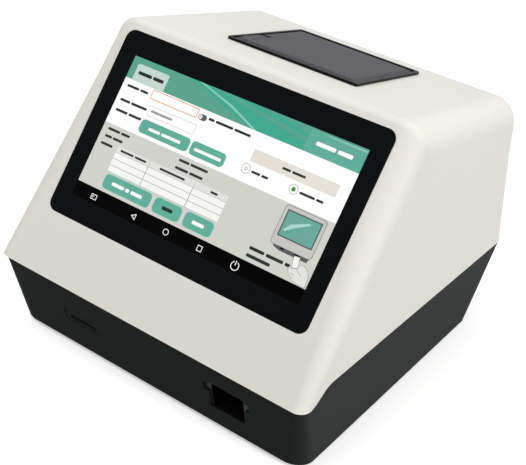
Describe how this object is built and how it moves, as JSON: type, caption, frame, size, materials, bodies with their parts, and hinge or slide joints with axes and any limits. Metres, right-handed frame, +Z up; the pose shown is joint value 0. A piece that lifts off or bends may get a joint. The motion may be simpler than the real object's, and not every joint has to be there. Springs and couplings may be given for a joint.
{
  "type": "rapid test reader",
  "caption": "Bench reader for rapid test cartridges with a sloping touch screen, a roll printer under a hinged lid, and a dark base with cartridge and card slots.",
  "frame": {"origin": "on the table, under the middle of the cover's outline", "axes": "+X to the user's right, +Y from the screen to the rear ports, +Z up"},
  "size_m": [0.243, 0.3074, 0.2148],
  "materials": {
    "cover_white": "fine satin moulding",
    "base_dark": "fine matt moulding",
    "black_moulding": "satin",
    "lid_grey": "satin",
    "screen_glass": "polished, black border",
    "display": "flat",
    "sheet_steel": "rolled sheet",
    "turned_steel": "ground",
    "screw_steel": "zinc plated",
    "cast_alloy": "bead blasted",
    "bearing_bronze": "turned",
    "board_green": "solder mask",
    "gear_white": "moulded acetal",
    "roller_rubber": "ground rubber",
    "feet_rubber": "moulded",
    "paper": "smooth paper",
    "card_core": "board tube",
    "port_shell": "bright plated",
    "port_black": "satin",
    "lens_glass": "polished",
    "lamp": "clear resin",
    "detector": "satin",
    "motor_case": "black"
  },
  "bodies": {
    "root": {"base_shell": "base_dark", "board_screws": "screw_steel", "bracket_screws": "screw_steel", "card_reader": "port_black", "chassis_screws": "screw_steel", "cover_screws": "screw_steel", "detector_board": "board_green", "display_board": "board_green", "display_bracket": "sheet_steel", "fan_frame": "port_black", "feed_motor": "motor_case", "gear_plate": "sheet_steel", "guide_rods": "turned_steel", "head_heatsink": "cast_alloy", "idler_pin": "turned_steel", "lcd_panel": "display", "lid_hinge_pin": "turned_steel", "light_source": "lamp", "main_board": "board_green", "network_port": "port_shell", "objective_lens": "lens_glass", "optical_head": "cast_alloy", "photo_detector": "detector", "printer_frame": "black_moulding", "rear_panel": "base_dark", "rubber_feet": "feet_rubber", "scan_chassis": "cast_alloy", "screw_bearings": "bearing_bronze", "slot_guide": "black_moulding", "speaker": "port_black", "stage_motor": "motor_case", "supply_inlet": "port_black", "switch_body": "port_black", "tear_bar": "sheet_steel", "thermal_head": "gear_white", "top_cover": "cover_white", "touch_glass": "screen_glass", "usb_ports": "port_shell"},
    "lid": {"printer_lid": "lid_grey"},
    "lever": {"lid_lever": "lid_grey"},
    "platen": {"platen_roller": "roller_rubber", "platen_shaft": "turned_steel", "platen_gear": "gear_white"},
    "idler": {"idler_gear": "gear_white"},
    "pinion": {"motor_pinion": "gear_white", "motor_shaft": "turned_steel"},
    "roll": {"paper_roll": "paper", "roll_core": "card_core"},
    "carriage": {"cartridge_carriage": "black_moulding"},
    "screw": {"lead_screw": "turned_steel", "stage_coupling": "cast_alloy", "stage_motor_shaft": "turned_steel"},
    "fan": {"fan_rotor": "port_black"},
    "rocker": {"switch_rocker": "port_black"}
  },
  "joints": [
    {"name": "lid_hinge", "type": "hinge", "parent": "root", "child": "lid", "pos_m": [0, 0.06534, 0.19991], "axis": [-1, 0, 0], "range_deg": [0, 80]},
    {"name": "lever_pull", "type": "hinge", "parent": "lid", "child": "lever", "pos_m": [0, 0.00701, 0.20745], "axis": [-1, 0, 0], "range_deg": [0, 35], "stiffness_Nm_per_rad": 0.02, "springref_deg": -17.19},
    {"name": "platen_turn", "type": "hinge", "parent": "lid", "child": "platen", "pos_m": [0, -0.01521, 0.20102], "axis": [1, 0, 0], "continuous": true},
    {"name": "idler_turn", "type": "hinge", "parent": "root", "child": "idler", "pos_m": [0, -0.00952, 0.18812], "axis": [1, 0, 0], "continuous": true},
    {"name": "pinion_turn", "type": "hinge", "parent": "root", "child": "pinion", "pos_m": [0, 0.00142, 0.1832], "axis": [1, 0, 0], "continuous": true},
    {"name": "paper_turn", "type": "hinge", "parent": "root", "child": "roll", "pos_m": [0, 0.02792, 0.17219], "axis": [1, 0, 0], "continuous": true},
    {"name": "carriage_slide", "type": "slide", "parent": "root", "child": "carriage", "axis": [0, 1, 0], "range_m": [0, 0.045]},
    {"name": "screw_turn", "type": "hinge", "parent": "root", "child": "screw", "pos_m": [0.064, 0, 0.0206], "axis": [0, 1, 0], "range_deg": [-2030, 0]},
    {"name": "fan_turn", "type": "hinge", "parent": "root", "child": "fan", "pos_m": [0.052, 0.1298, 0.0276], "axis": [0, 1, 0], "continuous": true},
    {"name": "rocker_tip", "type": "hinge", "parent": "root", "child": "rocker", "pos_m": [-0.046, 0.1338, 0.0276], "axis": [-1, 0, 0], "range_deg": [0, 16]}
  ],
  "couplings": [
    {"joint": "idler_turn", "follows": "platen_turn", "ratio": -0.66667},
    {"joint": "pinion_turn", "follows": "platen_turn", "ratio": 1.6},
    {"joint": "screw_turn", "follows": "carriage_slide", "rad_per_m": -785.4}
  ]
}
